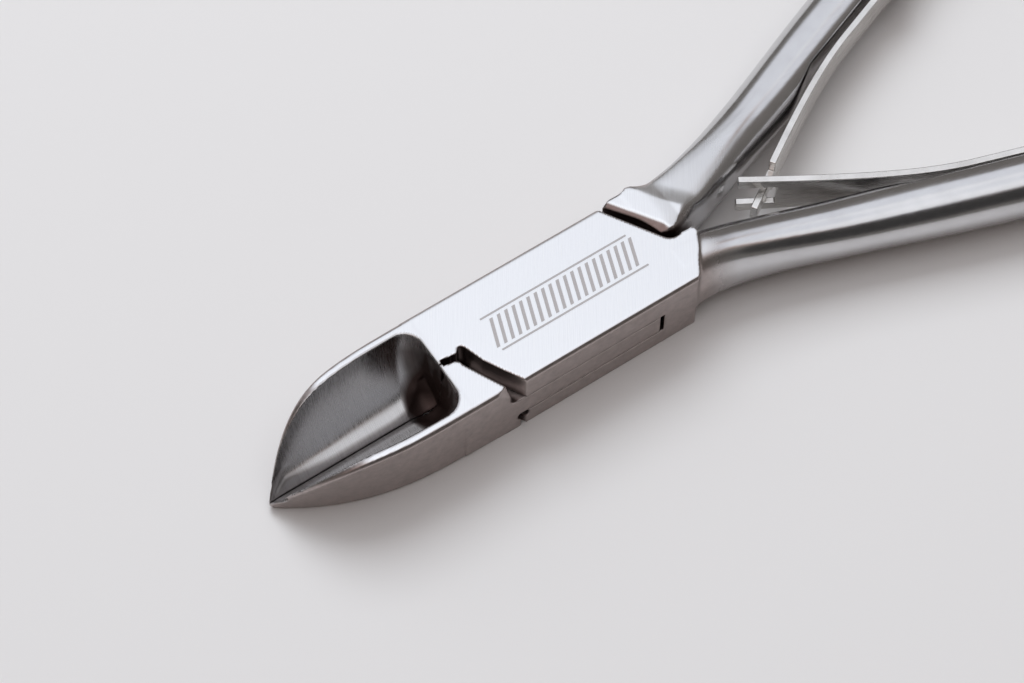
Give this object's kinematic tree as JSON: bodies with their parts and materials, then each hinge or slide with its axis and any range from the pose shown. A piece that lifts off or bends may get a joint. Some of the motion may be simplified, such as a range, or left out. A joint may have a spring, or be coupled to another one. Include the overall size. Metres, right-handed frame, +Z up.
{
  "type": "nail and cuticle nipper",
  "caption": "Steel hand nipper with tapered hollow-ground jaws, a box-lock pivot, bowed handles and a pair of interlocking leaf springs.",
  "frame": {"origin": "on the pivot axis, at the ground end of the pivot pin in the bottom face of the joint, which is the face the nipper lies on", "axes": "+Z up along the pivot axis, +X from the pivot to the handle ends, the cutting tips towards -X"},
  "size_m": [0.1206, 0.0421, 0.0072],
  "materials": {
    "forged_steel": "satin brushed stainless steel, near white on the flat faces and warm grey on the sides",
    "spring_steel": "rolled spring steel with a soft sheen and bright edges",
    "fastener_steel": "turned and ground stainless steel"
  },
  "bodies": {
    "box_side": {"box_half": "forged_steel", "pivot_pin": "fastener_steel", "fork_spring_foot": "spring_steel", "fork_spring_screw": "fastener_steel"},
    "lap_side": {"lap_half": "forged_steel", "tongue_spring_foot": "spring_steel", "tongue_spring_screw": "fastener_steel"},
    "fork_leaf": {"fork_spring_leaf": "spring_steel"},
    "tongue_leaf": {"tongue_spring_leaf": "spring_steel"}
  },
  "joints": [
    {"name": "pivot", "type": "hinge", "parent": "box_side", "child": "lap_side", "pos_m": [0, 0, 0.0036], "axis": [0, 0, 1], "range_deg": [0, 20]},
    {"name": "fork_flex", "type": "hinge", "parent": "box_side", "child": "fork_leaf", "pos_m": [0.0356, -0.00733, 0.0036], "axis": [0, 0, 1], "range_deg": [-17.4, 0]},
    {"name": "tongue_flex", "type": "hinge", "parent": "lap_side", "child": "tongue_leaf", "pos_m": [0.03529, 0.00869, 0.0036], "axis": [0, 0, 1], "range_deg": [0, 17.4]}
  ],
  "couplings": [
    {"joint": "fork_flex", "follows": "pivot", "ratio": -0.84},
    {"joint": "tongue_flex", "follows": "pivot", "ratio": 0.84}
  ]
}
